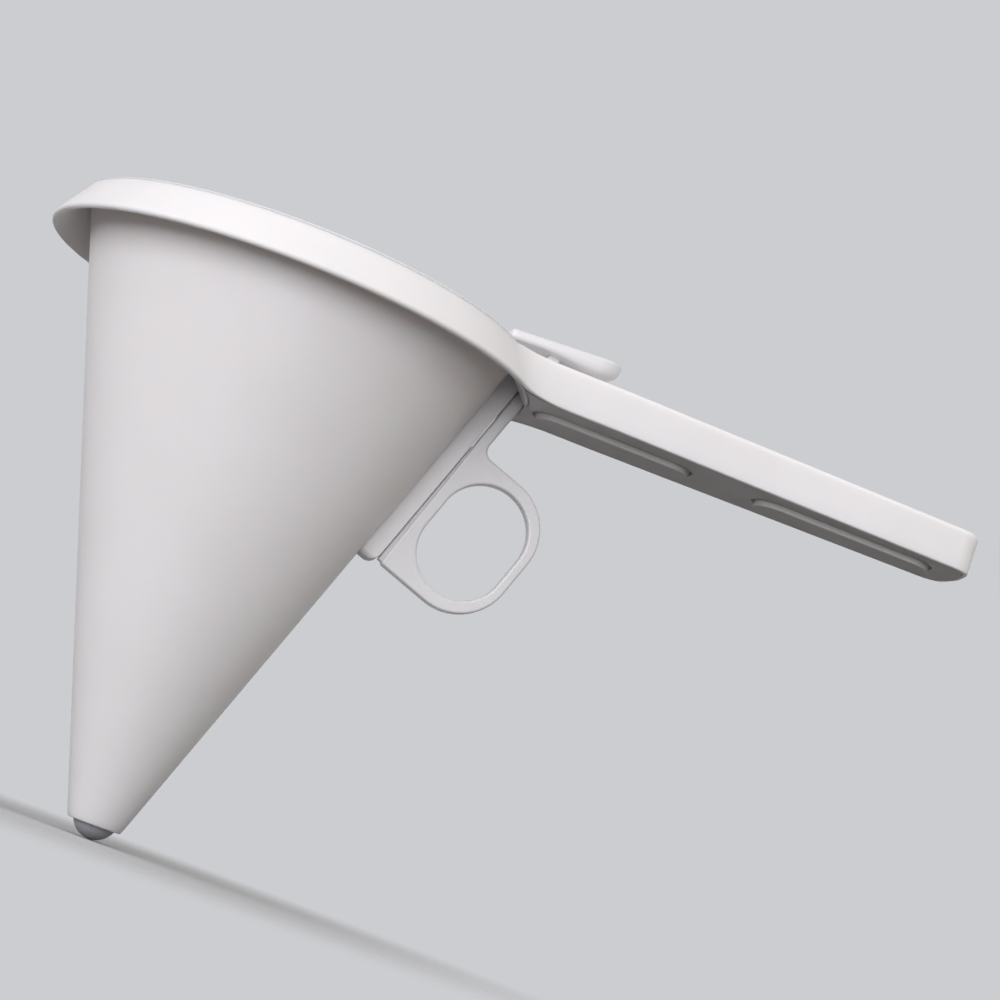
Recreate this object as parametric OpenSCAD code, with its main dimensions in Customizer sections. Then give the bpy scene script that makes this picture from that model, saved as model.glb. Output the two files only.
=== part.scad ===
// Hand-held batter dispenser. A conical hopper with a flared collar and a hollow handle is
// one moulding. A slide valve rides on it: a finger ring and its arm run in a T-slot rail on
// the cone's side, the arm passes up through the handle's root to a thumb plate, and the
// plate reaches over the rim to a rod whose round stopper closes the nozzle.
// The valve slides parallel to the cone's side, so every part of it is set out in one
// slope frame: x is the distance out from the cone's side, z the distance up along it.
// Frame: origin at the centre of the nozzle's outlet, +Z up the hopper's axis, handle on +X.

/* [Hopper] */
// Outer radius of the nozzle at its outlet
nozzle_r = 6.4; // [5.6:0.1:9]
// Half angle of the cone
cone_angle = 19.2; // [16:0.1:23]
// Height of the collar's lower edge above the outlet
hopper_h = 126.4; // [110:1:150]
// Thickness of the hopper's wall
wall_t = 1.2; // [0.9:0.1:1.6]

/* [Collar] */
// Height of the collar and of the handle
collar_h = 10.1; // [9:0.1:14]
// How far the collar's lower edge stands out from its rim
collar_flare = 5.15; // [3.5:0.05:7]
// Thickness of the collar's skirt
skirt_t = 1.4; // [1:0.1:1.8]
// Width of the rounded rim
rim_w = 2.6; // [2.2:0.1:3]

/* [Handle] */
// Distance from the hopper's axis to the handle's end
handle_reach = 173.5; // [150:1:200]
// Half width of the handle at its root
root_half_w = 17; // [15:0.1:20]
// Half width of the handle at its end
end_half_w = 12.9; // [11:0.1:15]
// Distance from the hopper's axis to where the sides begin to narrow
taper_x = 79; // [74:1:100]
// Corner radius at the handle's end
end_corner_r = 5.5; // [4:0.1:8]
// How far the end face bulges at its middle
end_crown = 0.8; // [0:0.1:2]
// Radius of the sweep from the collar into the handle's side
root_fillet_r = 16; // [10:0.5:20]
// How much narrower each side is at the top
side_draft = 0.7; // [0:0.1:1.2]
// Radius of the handle's top edges
top_edge_r = 1.1; // [0.6:0.1:1.5]
// Thickness of the handle's sides
side_t = 2.1; // [1.8:0.1:2.6]
// Thickness of the handle's top
top_t = 2; // [1.5:0.1:2.5]

/* [Handle cover] */
// Thickness of the cover that closes the handle from below
cover_t = 2.2; // [1.8:0.1:3]
// Width of the ledge that the cover is set against
ledge_w = 1; // [0.6:0.1:1.3]
// Gap round the cover's edge
cover_gap = 0.1; // [0.05:0.05:0.2]
// Half width of each grip pad
pad_half_w = 5.7; // [4:0.1:7]
// How far each grip pad stands out below the cover
pad_h = 1.3; // [0.8:0.1:2]
// Radius of the grip pads' lower edges
pad_edge_r = 1; // [0.4:0.1:1.2]
// Distance from the hopper's axis to the first pad's inner end
pad_start_x = 62.3; // [61.5:0.1:66]
// Length of the first pad
pad_1_l = 39.5; // [30:0.5:44]
// Plain stretch between the two pads
pad_gap = 17.7; // [10:0.1:24]
// Length of the second pad
pad_2_l = 45.6; // [30:0.1:50]
// Width of the groove round each pad
groove_w = 0.9; // [0.5:0.1:1.2]
// Depth of the groove round each pad
groove_d = 0.9; // [0.4:0.1:1.2]

/* [Rail] */
// Half width of the rail on the cone's side
rail_half_w = 3.7; // [3.4:0.1:4.5]
// How far the rail stands out from the cone
rail_h = 4.3; // [4:0.1:5.5]
// Distance up the cone's side, from its apex, to the rail's foot
rail_foot = 104; // [96:0.5:108]
// Radius of the rail's lower end
rail_nose_r = 3; // [1:0.1:3.8]
// Radius of the rail's lower end at its two sides
rail_side_r = 1.8; // [1:0.1:3]
// Radius of the rail's root on the cone
rail_root_r = 1.2; // [0.6:0.1:1.5]
// Thickness of the two lips that hold the trigger's tongue
lip_t = 1.3; // [1:0.1:1.6]

/* [Valve slide] */
// Travel of the valve from shut to fully open
travel = 12; // [8:0.5:13]
// Gap between the valve and what it slides in
slide_gap = 0.3; // [0.2:0.05:0.4]
// Thickness of the trigger's plate and ring
trigger_t = 4; // [3.4:0.1:4.6]
// Half thickness of the trigger's neck, between the rail's lips
neck_half_t = 1; // [0.8:0.1:1.2]
// Half thickness of the trigger's inner margin, beside the rail
margin_half_t = 1.6; // [1.2:0.1:1.6]
// Thickness of the trigger's tongue, inside the rail
tongue_t = 1.4; // [1:0.1:1.6]
// Half width of the trigger's tongue
tongue_half_w = 2.3; // [1.8:0.1:2.5]

/* [Finger ring] */
// Radius of the round ends of the finger hole
hole_r = 10.9; // [9:0.1:12]
// Straight length of the finger hole
hole_straight = 7.4; // [4:0.1:12]
// Thickness of the ring's outer side
ring_side_t = 2.5; // [2:0.1:4]
// Thickness of the ring's upper and lower ends
ring_end_t = 3.3; // [2.5:0.1:5]
// Web between the finger hole and the plate's inner edge
ring_web = 3.1; // [2.4:0.1:5]
// Thickness of the trigger's arm
arm_t = 3; // [2.4:0.1:3.6]
// Radius between the arm and the ring
arm_fillet_r = 2.6; // [1:0.1:4]

/* [Thumb plate] */
// Half width of the thumb plate, and radius of its round end
plate_half_w = 5.7; // [4.5:0.1:9]
// Distance from the rod to the middle of the round end
plate_l = 23.8; // [20:0.1:28]
// Distance from the rod to the plate's square end
plate_start = 1.3; // [0.5:0.1:2]
// Corner radius of the square end
plate_corner_r = 1.2; // [0.5:0.1:1.5]
// Thickness of the thumb plate
plate_t = 2.6; // [2.2:0.1:4]
// Radius of the thumb plate's edges
plate_edge_r = 0.9; // [0.4:0.1:1.1]
// Thickness of the round boss over the rod
boss_t = 1.7; // [1.4:0.1:2.2]
// Radius of the boss's edges
boss_edge_r = 0.5; // [0.3:0.1:0.6]
// Upward slope of the thumb plate
plate_tilt = 3.6; // [0:0.1:6]
// Height of the thumb plate above the rim, over the rod
plate_rise = 3.6; // [2:0.1:6]
// Depth of the thumb's hollow in the plate
dish_d = 0.5; // [0.2:0.1:0.8]

/* [Plunger] */
// Radius of the stopper's ball
stopper_r = 5.35; // [5:0.05:6.5]
// Gap between the seated stopper and the cone's wall
seat_gap = 0.15; // [0.1:0.05:0.3]
// Length of the stopper above the middle of its ball
stopper_l = 12; // [10:0.5:18]
// Radius of the plunger's rod
rod_r = 2.5; // [2:0.1:3]
// Radius of the spigots at the rod's two ends
spigot_r = 1.5; // [1.1:0.1:1.8]
// Length of the rod's lower spigot
spigot_l = 7; // [5:0.5:8]
// Radius of the rod's shoulder under the thumb plate
shoulder_r = 4; // [3.2:0.1:5]
// Height of the rod's shoulder
shoulder_h = 3; // [2:0.1:5]
// Gap round spigots and tenons in their sockets
fit_gap = 0.06; // [0.04:0.01:0.1]

/* [Hidden] */
$fn = 96;
white = [0.93, 0.93, 0.91];
ring_white = [0.90, 0.91, 0.93];
tip_grey = [0.80, 0.80, 0.80];
big = 400;                                      // longer than the whole part
over = 5;                                       // how far a cut reaches past what it cuts
eps = 0.02;                                     // overlap that makes two solids one
ca = cos(cone_angle);
sa = sin(cone_angle);
slope = tan(cone_angle);
apex_z = -nozzle_r / slope;                     // the cone's own apex, below the outlet
wall_x = wall_t / ca;                           // the wall measured level
rim_z = hopper_h + collar_h;
rim_round = rim_w / 2;
function cone_x(z) = nozzle_r + z * slope;      // outer radius of the cone at a height
function bore_x(z) = cone_x(z) - wall_x;        // inner radius
rim_x = bore_x(rim_z - rim_round) + rim_w;      // outer radius of the rim
flare_slope = collar_flare / (collar_h - rim_round);
function skirt_x(z) = rim_x + (rim_z - rim_round - z) * flare_slope;
skirt_level = skirt_t * sqrt(1 + flare_slope * flare_slope);
skirt_end_r = skirt_level / 2;                  // the skirt's lower edge is round
edge_drop = 0.2;                                // that edge reaches just past the handle's underside
top_proud = 0.1;                                // the handle's top stands just above the rim
solid_root = 3.4;                               // height of the solid part above the skirt's V space
v_top_z = rim_z - solid_root;

// A point of the slope frame as a place in the row's frame
function slope_x(out, up) = up * sa + out * ca;
function slope_z(out, up) = up * ca - out * sa + apex_z;
// Distance up the slope at which a line parallel to the cone's side reaches a height
function up_at_z(out, z) = (z - apex_z + out * sa) / ca;

function arc(cx, cy, r, a0, a1, n) =
    [for (i = [0:n]) let (a = a0 + (a1 - a0) * i / n) [cx + r * cos(a), cy + r * sin(a)]];

module on_slope() { translate([0, 0, apex_z]) rotate([0, cone_angle, 0]) children(); }
module across(t) { rotate([90, 0, 0]) linear_extrude(t, center = true) children(); }

// ---- hopper and collar, one revolved section ----
module hopper_section() {
    polygon(concat(
        [[bore_x(0), 0], [nozzle_r, 0], [cone_x(v_top_z), v_top_z]],
        arc(skirt_x(hopper_h) - skirt_end_r, hopper_h + skirt_end_r - edge_drop,
            skirt_end_r, 180, 360, 8),
        arc(rim_x - rim_round, rim_z - rim_round, rim_round, 0, 180, 10)));
}

// The seams of these round solids are turned to the side away from the handle
module hopper_revolve() {
    rotate([0, 0, 180]) rotate_extrude() hopper_section();
}

module hopper_void() {
    rotate([0, 0, 180]) rotate_extrude() polygon(concat(
        [[0, -1], [bore_x(-1), -1]],
        arc(rim_x - rim_round, rim_z - rim_round, rim_round, 180, 90, 5),
        [[rim_x - rim_round, rim_z + 1], [0, rim_z + 1]]));
}

module cone_solid() {
    rotate([0, 0, 180]) cylinder(h = rim_z, r1 = nozzle_r, r2 = cone_x(rim_z));
}

// ---- handle: one plan outline, lofted upwards ----
block_root = [0, 1.2];       // the handle starts where its fillet touches the collar
cover_root = [16, 3.4];      // the cover starts further round the fillet, and reaches the cone
cut_root = [16, 8];          // what is cut out of the handle opens into the skirt's V space

sunk = 0.3;                  // the root fillet begins this far inside the collar's surface
corner_ease = 0.7;           // an inner outline's end corners tighten by this share of its inset
crown_turn = 8;              // degrees by which the crowned end face leans back at its corners
crown_knee = 0.6;            // where the crown bends, as a share of the end face's half width

// Half of the plan outline at a height, drawn in by a distance: from the collar, round the
// root fillet, along the side, round the end corner and across half of the crowned end.
// The root says how many degrees of the fillet are left out, and how far the outline then
// runs in towards the hopper's axis.
function handle_half(z, inset, root) =
    let (drift = side_draft * (z - hopper_h) / collar_h,
         w = root_half_w - drift,
         we = end_half_w - drift,
         rc = end_corner_r - inset * corner_ease,
         r0 = skirt_x(z) - sunk,
         cy = w + root_fillet_r,
         cx = sqrt(pow(r0 + root_fillet_r, 2) - cy * cy),
         turn = atan2(cy, cx) + 180 + root[0],
         rf = root_fillet_r + inset,
         start = [cx + rf * cos(turn), cy + rf * sin(turn)],
         xe = handle_reach - end_crown - inset,
         lean = atan2(w - we, handle_reach - taper_x))
    concat(
        [start * (1 - root[1] / norm(start))],
        arc(cx, cy, rf, turn, 270, 9),
        [[taper_x, w - inset]],
        arc(xe - rc, we - inset - rc, rc, 90 - lean, crown_turn, 6),
        [for (k = [crown_knee, 0]) [xe + end_crown * (1 - k * k), (we - inset - rc) * k]]);

function handle_outline(z, inset, root) =
    let (h = handle_half(z, inset, root), n = len(h))
    [for (i = [0:2 * n - 2]) i < n ? h[i] : [h[2 * n - 2 - i][0], -h[2 * n - 2 - i][1]]];

// A closed solid through a stack of rings with the same number of points. The second half of a
// ring mirrors its first, so that both caps are strips between each point and its mirror.
module loft(rings) {
    n = len(rings[0]);
    m = len(rings);
    half = (n - 1) / 2;
    last = (m - 1) * n;
    points = [for (r = rings) for (p = r) p];
    sides = [for (j = [0:m - 2]) for (i = [0:n - 1]) for (k = [0, 1])
        let (a = j * n + i, b = j * n + (i + 1) % n, c = b + n, d = a + n)
        k == 0 ? [a, b, c] : [a, c, d]];
    cap = [for (i = [0:half - 1])
        i < half - 1 ? [i, i + 1, n - 2 - i, n - 1 - i] : [i, i + 1, i + 2]];
    bottom = [for (strip = cap) [for (i = [len(strip) - 1:-1:0]) strip[i]]];
    top = [for (strip = cap) [for (i = strip) last + i]];
    polyhedron(points, concat(bottom, sides, top));
}

// The whole space behind the middle of the skirt's thickness
module behind_skirt() {
    low = hopper_h - over;
    high = v_top_z + solid_root / 3;
    rotate([0, 0, 180]) rotate_extrude() polygon([[0, low], [skirt_x(low) - skirt_end_r, low],
        [skirt_x(high) - skirt_end_r, high], [0, high]]);
}

// The handle's outside, with round top edges, kept out of the V space
module handle_block() {
    top = rim_z + top_proud;
    function ring(z, inset) = [for (p = handle_outline(z, inset, block_root)) [p[0], p[1], z]];
    difference() {
        loft(concat([ring(hopper_h, 0)], [for (a = [0, 30, 60, 90])
            ring(top - top_edge_r * (1 - sin(a)), top_edge_r * (1 - cos(a)))]));
        behind_skirt();
    }
}

// A straight-sided plate or cut of the handle's outline, between two heights
module handle_prism(low, high, inset, root) {
    translate([0, 0, low]) linear_extrude(high - low) polygon(handle_outline(high, inset, root));
}

// The mouth that takes the cover, and the chamber above it
module handle_mouth() {
    difference() {
        handle_prism(hopper_h - 1, hopper_h + cover_t, side_t - ledge_w, cut_root);
        cone_solid();
    }
}

module handle_chamber() {
    difference() {
        handle_prism(hopper_h + cover_t - 1, rim_z - top_t, side_t, cut_root);
        cone_solid();
    }
}

// ---- rail ----
tongue_out = rail_h - lip_t - slide_gap;                 // outer face of the tongue
tongue_in = tongue_out - tongue_t;
rail_top = up_at_z(0, rim_z - top_t / 2);
foot_step = 1.4;                                         // from the rail's foot up to the ring
ring_low = rail_foot + foot_step;                        // lower edge of the ring's plate
hole_mid_up = ring_low + ring_end_t + hole_r + hole_straight / 2;
ring_high = hole_mid_up + hole_straight / 2 + hole_r + ring_end_t;
tongue_trim = 1.2;                                       // the tongue is this much shorter, at each end
tongue_low = ring_low + tongue_trim;
tongue_high = ring_high - tongue_trim;
slot_low = tongue_low - slide_gap;
slot_high = tongue_high + travel + slide_gap;
rail_edge = 0.4;                                         // flat on the rail's two outer edges
root_sink = 0.25;                                        // the cone curves away by this at the rail's sides

module rail_section() {
    r = rail_root_r;
    w = rail_half_w;
    half = concat([[-wall_t / 2 - root_sink, w + r]],
                  [for (a = [90:-15:0]) [r * (1 - sin(a)) - root_sink, w + r * (1 - cos(a))]],
                  [[rail_h - rail_edge, w], [rail_h, w - rail_edge]]);
    polygon(concat(half, [for (i = [len(half) - 1:-1:0]) [half[i][0], -half[i][1]]]));
}

module rail() {
    side = rail_half_w - rail_side_r;
    intersection() {
        on_slope() translate([0, 0, rail_foot]) linear_extrude(rail_top - rail_foot) rail_section();
        on_slope() across(4 * rail_half_w) union() {
            translate([-over, rail_foot + rail_nose_r]) square([over + rail_h, big / 4]);
            translate([-over, rail_foot]) square([over + rail_h - rail_nose_r, rail_nose_r + eps]);
            translate([rail_h - rail_nose_r, rail_foot + rail_nose_r]) circle(rail_nose_r);
        }
        on_slope() translate([-over, 0, 0]) rotate([90, 0, 90]) linear_extrude(2 * over + rail_h) union() {
            translate([-2 * rail_half_w, rail_foot + rail_side_r]) square([4 * rail_half_w, big / 4]);
            translate([-side, rail_foot]) square([2 * side, rail_side_r + eps]);
            for (s = [-side, side]) translate([s, rail_foot + rail_side_r]) circle(rail_side_r);
        }
        translate([0, 0, rim_z - top_t - big / 2]) cube([big, big, big], center = true);
    }
}

module rail_slot() {
    on_slope() {
        translate([tongue_in - slide_gap, -tongue_half_w - slide_gap, slot_low])
            cube([tongue_t + 2 * slide_gap, 2 * (tongue_half_w + slide_gap), slot_high - slot_low]);
        translate([tongue_out, -neck_half_t - slide_gap, slot_low])
            cube([rail_h, 2 * (neck_half_t + slide_gap), slot_high - slot_low]);
    }
}

// ---- arm, shared by the trigger, the handle's slot and the thumb plate's socket ----
arm_in = rail_h + slide_gap;
arm_out = arm_in + arm_t;
arm_gap = 0.4;                                           // round the arm, where it passes the handle
lean_room = 0.5;                                         // more on its outer side, to which it leans
module arm_bar(gap, low, high, room = 0) {
    on_slope() translate([arm_in - gap, -trigger_t / 2 - gap, low])
        cube([arm_t + 2 * gap + room, trigger_t + 2 * gap, high - low]);
}

module funnel_body() {
    color(white) difference() {
        union() {
            difference() {
                union() {
                    hopper_revolve();
                    handle_block();
                }
                hopper_void();
                handle_mouth();
                handle_chamber();
            }
            rail();
        }
        rail_slot();
        arm_bar(arm_gap, slot_high, up_at_z(arm_out, rim_z + over), lean_room);
    }
}

// ---- cover with its two grip pads ----
module stadium(x0, l, w) {
    translate([x0 + w, 0]) circle(w);
    translate([x0 + l - w, 0]) circle(w);
    translate([x0 + w, -w]) square([l - 2 * w, 2 * w]);
}

// Half section of a bar with rounded lower edges: x is the distance from the middle
module edge_section(w, h, r) {
    polygon(concat([[0, 0], [w, 0]], [for (a = [0:15:90]) [w - r + r * cos(a), -h + r - r * sin(a)]], [[0, -h]]));
}

module grip_pad(x0, l) {
    w = pad_half_w;
    for (x = [x0 + w, x0 + l - w]) translate([x, 0, hopper_h])
        rotate_extrude() edge_section(w, pad_h, pad_edge_r);
    translate([x0 + w, 0, hopper_h]) rotate([90, 0, 90]) linear_extrude(l - 2 * w) union() {
        edge_section(w, pad_h, pad_edge_r);
        mirror([1, 0]) edge_section(w, pad_h, pad_edge_r);
    }
}

pads = [[pad_start_x, pad_1_l], [pad_start_x + pad_1_l + pad_gap, pad_2_l]];
notch_gap = 0.6;                                         // round the rail and the arm, in the cover

module handle_cover() {
    inset = side_t - ledge_w + cover_gap;
    notch_w = 2 * (rail_half_w + notch_gap);
    color(white) difference() {
        union() {
            difference() {
                handle_prism(hopper_h, hopper_h + cover_t, inset, cover_root);
                for (p = pads) translate([0, 0, hopper_h - 1]) linear_extrude(1 + groove_d)
                    stadium(p[0] - groove_w, p[1] + 2 * groove_w, pad_half_w + groove_w);
            }
            for (p = pads) {
                grip_pad(p[0], p[1]);
                translate([0, 0, hopper_h - eps]) linear_extrude(groove_d + 2 * eps) stadium(p[0], p[1], pad_half_w);
            }
        }
        on_slope() translate([-over, -notch_w / 2, up_at_z(0, hopper_h) - over])
            cube([over + arm_out + notch_gap, notch_w, cover_t + 3 * over]);
        translate([0, 0, eps]) cone_solid();
    }
}

// ---- trigger: finger ring, plate, tongue and arm ----
plate_in_low = arm_in + 0.8;                             // the plate's inner edge leans in upwards,
plate_in_high = arm_in + 0.2;                            // so that a gap to the rail shows below
plate_in_mid = (plate_in_low + plate_in_high) / 2;
hole_out = plate_in_mid + ring_web + hole_r;
ring_out = hole_out + hole_r + ring_side_t;
plate_z = rim_z + plate_rise;                            // underside of the thumb plate, over the rod

module trigger_outline() {
    corner_r = hole_r + ring_side_t;
    low_c = ring_low + corner_r;
    high_c = ring_high - corner_r;
    difference() {
        union() {
            polygon([[plate_in_low, ring_low], [hole_out, ring_low], [hole_out, ring_high],
                     [plate_in_high, ring_high]]);
            for (s = [low_c, high_c]) translate([hole_out, s]) circle(corner_r);
            translate([hole_out - 1, low_c]) square([corner_r + 1, high_c - low_c]);
            translate([arm_out - 1, ring_high - 1]) difference() {
                square(arm_fillet_r + 1);
                translate([arm_fillet_r + 1, arm_fillet_r + 1]) circle(arm_fillet_r);
            }
        }
        for (e = [-1, 1]) translate([hole_out, hole_mid_up + e * hole_straight / 2]) circle(hole_r);
        translate([hole_out - hole_r, hole_mid_up - hole_straight / 2]) square([2 * hole_r, hole_straight]);
    }
}

// Distance up the slope at which a line parallel to the cone's side reaches a height above
// the thumb plate's tilted underside
socket_roof = 0.3;                                       // left above the arm's end in the thumb plate
function up_at_plate(out, lift) =
    (plate_z + lift / cos(plate_tilt) + (out * ca - plate_x) * tan(plate_tilt) + out * sa - apex_z)
    / (ca - sa * tan(plate_tilt));

module trigger() {
    margin_drop = 0.5;                           // the inner margin is this much shorter, at each end
    color(ring_white) union() {
        on_slope() across(trigger_t) trigger_outline();
        arm_bar(0, ring_high - 2, up_at_plate(arm_in, plate_t - socket_roof));
        on_slope() translate([tongue_out - eps, -neck_half_t, tongue_low])
            cube([plate_in_low - tongue_out + 1, 2 * neck_half_t, tongue_high - tongue_low]);
        on_slope() translate([arm_in, -margin_half_t, ring_low + margin_drop])
            cube([plate_in_low - arm_in + 1, 2 * margin_half_t, ring_high - ring_low - 2 * margin_drop]);
        on_slope() translate([tongue_in, -tongue_half_w, tongue_low])
            cube([tongue_t, 2 * tongue_half_w, tongue_high - tongue_low]);
    }
}

// ---- plunger: its line runs parallel to the cone's side, through the seated ball ----
ball_z = apex_z + wall_t / sa + (stopper_r + seat_gap) / sa;   // ball seated on the inner cone
line_out = -(ball_z - apex_z) * sa;
ball_up = (ball_z - apex_z) * ca;
plate_x = slope_x(line_out, up_at_z(line_out, plate_z));       // the plate's inner end, over the rod

module on_plate() { translate([plate_x, 0, plate_z]) rotate([0, -plate_tilt, 0]) children(); }
module on_line(up) { on_slope() translate([line_out, 0, up]) children(); }

// What lies below a height above the thumb plate's underside
module below_plate(lift) {
    difference() {
        union() children();
        on_plate() translate([-big / 2, -big / 2, lift]) cube(big);
    }
}

// Half section of a slab with all its edges rounded
module slab_section(w, t, r) {
    polygon(concat([[0, 0]], [for (a = [-90:15:0]) [w - r + r * cos(a), r + r * sin(a)]],
                   [for (a = [0:15:90]) [w - r + r * cos(a), t - r + r * sin(a)]], [[0, t]]));
}

// A bar of that slab, between two distances from the rod
module plate_bar(x0, x1, w, t, r) {
    translate([x0, 0, 0]) rotate([90, 0, 90]) linear_extrude(x1 - x0) union() {
        slab_section(w, t, r);
        mirror([1, 0]) slab_section(w, t, r);
    }
}

// The square end's outline, which rounds its two corners
module square_end() {
    x = plate_start + plate_corner_r;
    y = plate_half_w - plate_corner_r;
    linear_extrude(3 * plate_t, center = true) polygon(concat(
        arc(x, y, plate_corner_r, 90, 180, 6), arc(x, -y, plate_corner_r, 180, 270, 6),
        [[plate_l, -plate_half_w - 1], [plate_l, plate_half_w + 1]]));
}

// The plate over the handle and the rim, and the lower, round boss over the rod
module thumb_plate() {
    dish_r = plate_half_w * plate_half_w / (2 * dish_d);
    boss_end = plate_start + 2 * plate_corner_r;             // the boss runs in under the square end
    color(ring_white) difference() {
        on_plate() {
            translate([plate_l, 0, 0]) rotate_extrude() slab_section(plate_half_w, plate_t, plate_edge_r);
            intersection() {
                plate_bar(plate_start, plate_l, plate_half_w, plate_t, plate_edge_r);
                square_end();
            }
            plate_bar(0, boss_end, shoulder_r, boss_t, boss_edge_r);
            rotate([0, 0, 180]) rotate_extrude() slab_section(shoulder_r, boss_t, boss_edge_r);
        }
        on_plate() translate([plate_l, 0, plate_t - dish_d + dish_r]) sphere(dish_r, $fn = 180);
        arm_bar(fit_gap, up_at_z(arm_in, rim_z), up_at_z(arm_in, plate_z + big / 4));
        below_plate(boss_t + socket_roof) on_line(0) cylinder(h = big / 2, r = spigot_r + fit_gap);
    }
}

module plunger_rod() {
    top = up_at_plate(line_out, 0);
    foot = ball_up + stopper_l;
    color(ring_white) union() {
        below_plate(0) {
            on_line(foot) cylinder(h = top - foot + over, r = rod_r);
            on_line(top - shoulder_h) cylinder(h = shoulder_h + over, r = shoulder_r);
        }
        below_plate(boss_t) on_line(top - shoulder_h) cylinder(h = shoulder_h + over, r = spigot_r);
        on_line(foot - spigot_l) cylinder(h = spigot_l + 1, r = spigot_r);
    }
}

module stopper_tip() {
    neck = 55;                                   // angle at which the ball runs into its neck
    spigot_room = 0.2;                           // under the spigot's end, in its socket
    color(tip_grey) on_line(ball_up) difference() {
        rotate_extrude() polygon(concat(
            [for (a = [-90:5:neck]) [stopper_r * cos(a), stopper_r * sin(a)]],
            [[rod_r, stopper_l], [0, stopper_l]]));
        translate([0, 0, stopper_l - spigot_l - spigot_room])
            cylinder(h = spigot_l + 1, r = spigot_r + fit_gap);
    }
}

funnel_body();
handle_cover();
trigger();
thumb_plate();
plunger_rod();
stopper_tip();
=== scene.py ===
"""Looks of a hand-held batter dispenser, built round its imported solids.

Every size below is in millimetres and turns into metres when a mesh is written. The frame is
the part's own: origin at the centre of the nozzle's outlet, Z up the hopper's axis, X along
the handle. The valve's pieces are set out in a slope frame that lies along the cone's side.
"""

from __future__ import annotations

import logging
import math
from dataclasses import dataclass, field
from enum import Enum
from typing import Any

import bmesh
import bpy
import numpy as np
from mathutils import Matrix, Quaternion, Vector
from mathutils.geometry import tessellate_polygon

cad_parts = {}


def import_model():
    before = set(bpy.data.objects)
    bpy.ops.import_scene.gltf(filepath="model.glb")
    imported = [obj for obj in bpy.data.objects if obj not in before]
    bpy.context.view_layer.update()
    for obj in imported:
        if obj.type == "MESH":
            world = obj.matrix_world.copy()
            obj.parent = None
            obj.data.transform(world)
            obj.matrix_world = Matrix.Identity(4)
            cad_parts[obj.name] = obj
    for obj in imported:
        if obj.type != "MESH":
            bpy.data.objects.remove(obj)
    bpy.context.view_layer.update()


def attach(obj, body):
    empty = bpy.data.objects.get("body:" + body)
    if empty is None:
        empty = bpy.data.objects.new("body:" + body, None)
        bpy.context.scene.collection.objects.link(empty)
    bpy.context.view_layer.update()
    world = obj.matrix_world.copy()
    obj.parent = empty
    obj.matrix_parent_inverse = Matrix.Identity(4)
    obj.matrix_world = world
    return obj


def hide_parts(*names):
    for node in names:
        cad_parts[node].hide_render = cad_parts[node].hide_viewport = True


logging.basicConfig(level=logging.INFO, format="%(name)s: %(message)s")
LOG = logging.getLogger("batter_dispenser")
MM = 0.001
SHARP_ANGLE = 35.0  # degrees between faces that meet in a sharp edge
MERGE = 2e-6  # metres within which points are one
DOUBLED = 1e-5  # millimetres within which two places of an outline are one
PLATE_RISE = 3.6  # millimetres from the rim up to the thumb plate's underside, over the rod
HAIR = 0.05  # millimetres: the least gap between two surfaces, and the least edge radius
MIRROR = np.array([1.0, -1.0, 1.0])  # turns places on the left half into those on the right
Triple = tuple[float, float, float]
Finish = bpy.types.Material
Socket = bpy.types.NodeSocket


class Body(Enum):
    """The two bodies that pieces ride on."""

    FUNNEL = "funnel"
    VALVE = "valve"


class Slot(Enum):
    """The record's material slots."""

    HOPPER = "hopper_white"
    COVER = "cover_white"
    VALVE = "valve_white"
    STOPPER = "stopper_grey"


# ---------------------------------------------------------------- surfaces


@dataclass
class Surface:
    """A mesh in the making.

    Args:
        points: places in millimetres, one row each.
        quads: four point numbers a row.
        triangles: three point numbers a row.
    """

    points: np.ndarray
    quads: np.ndarray = field(default_factory=lambda: np.empty((0, 4), int))
    triangles: np.ndarray = field(default_factory=lambda: np.empty((0, 3), int))

    @staticmethod
    def joined(parts: list["Surface"]) -> "Surface":
        """Several surfaces as one.

        Args:
            parts: the surfaces, which keep their own points.

        Returns:
            One surface with every part's points and faces.
        """
        starts = np.cumsum([0] + [len(part.points) for part in parts])[:-1]
        return Surface(
            np.vstack([part.points for part in parts]),
            np.vstack([part.quads + s for part, s in zip(parts, starts)]),
            np.vstack([part.triangles + s for part, s in zip(parts, starts)]),
        )


def grid_quads(rows: int, columns: int, close_rows: bool = False, close_columns: bool = False) -> np.ndarray:
    """Faces of a grid of points that is stored row by row.

    Point (i, j) has number i * columns + j, and each face joins (i, j), (i, j + 1),
    (i + 1, j + 1) and (i + 1, j), where the last row or column may join the first.

    Args:
        rows: how many rows of points there are.
        columns: how many points a row has.
        close_rows: whether the last row joins the first.
        close_columns: whether a row's last point joins its first.

    Returns:
        Four point numbers for each face.
    """
    i = np.arange(rows if close_rows else rows - 1)[:, None]
    j = np.arange(columns if close_columns else columns - 1)[None, :]
    after_i, after_j = (i + 1) % rows, (j + 1) % columns
    here, there = i * columns, after_i * columns
    joined = np.broadcast_arrays(here + j, here + after_j, there + after_j, there + j)
    return np.stack(joined, axis=-1).reshape(-1, 4)


def woven(points: np.ndarray, close_rows: bool = False, close_columns: bool = False) -> Surface:
    """A surface over places set out in rows and columns, with x, y and z in the last axis."""
    return Surface(points.reshape(-1, 3), grid_quads(*points.shape[:2], close_rows, close_columns))


def eased(value: Any, start: float = 0.0, end: float = 1.0) -> Any:
    """A smooth share of the way from start to end: t^2 (3 - 2 t), with t kept from 0 to 1."""
    t = np.clip((value - start) / (end - start), 0.0, 1.0)
    return t * t * (3 - 2 * t)


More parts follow.
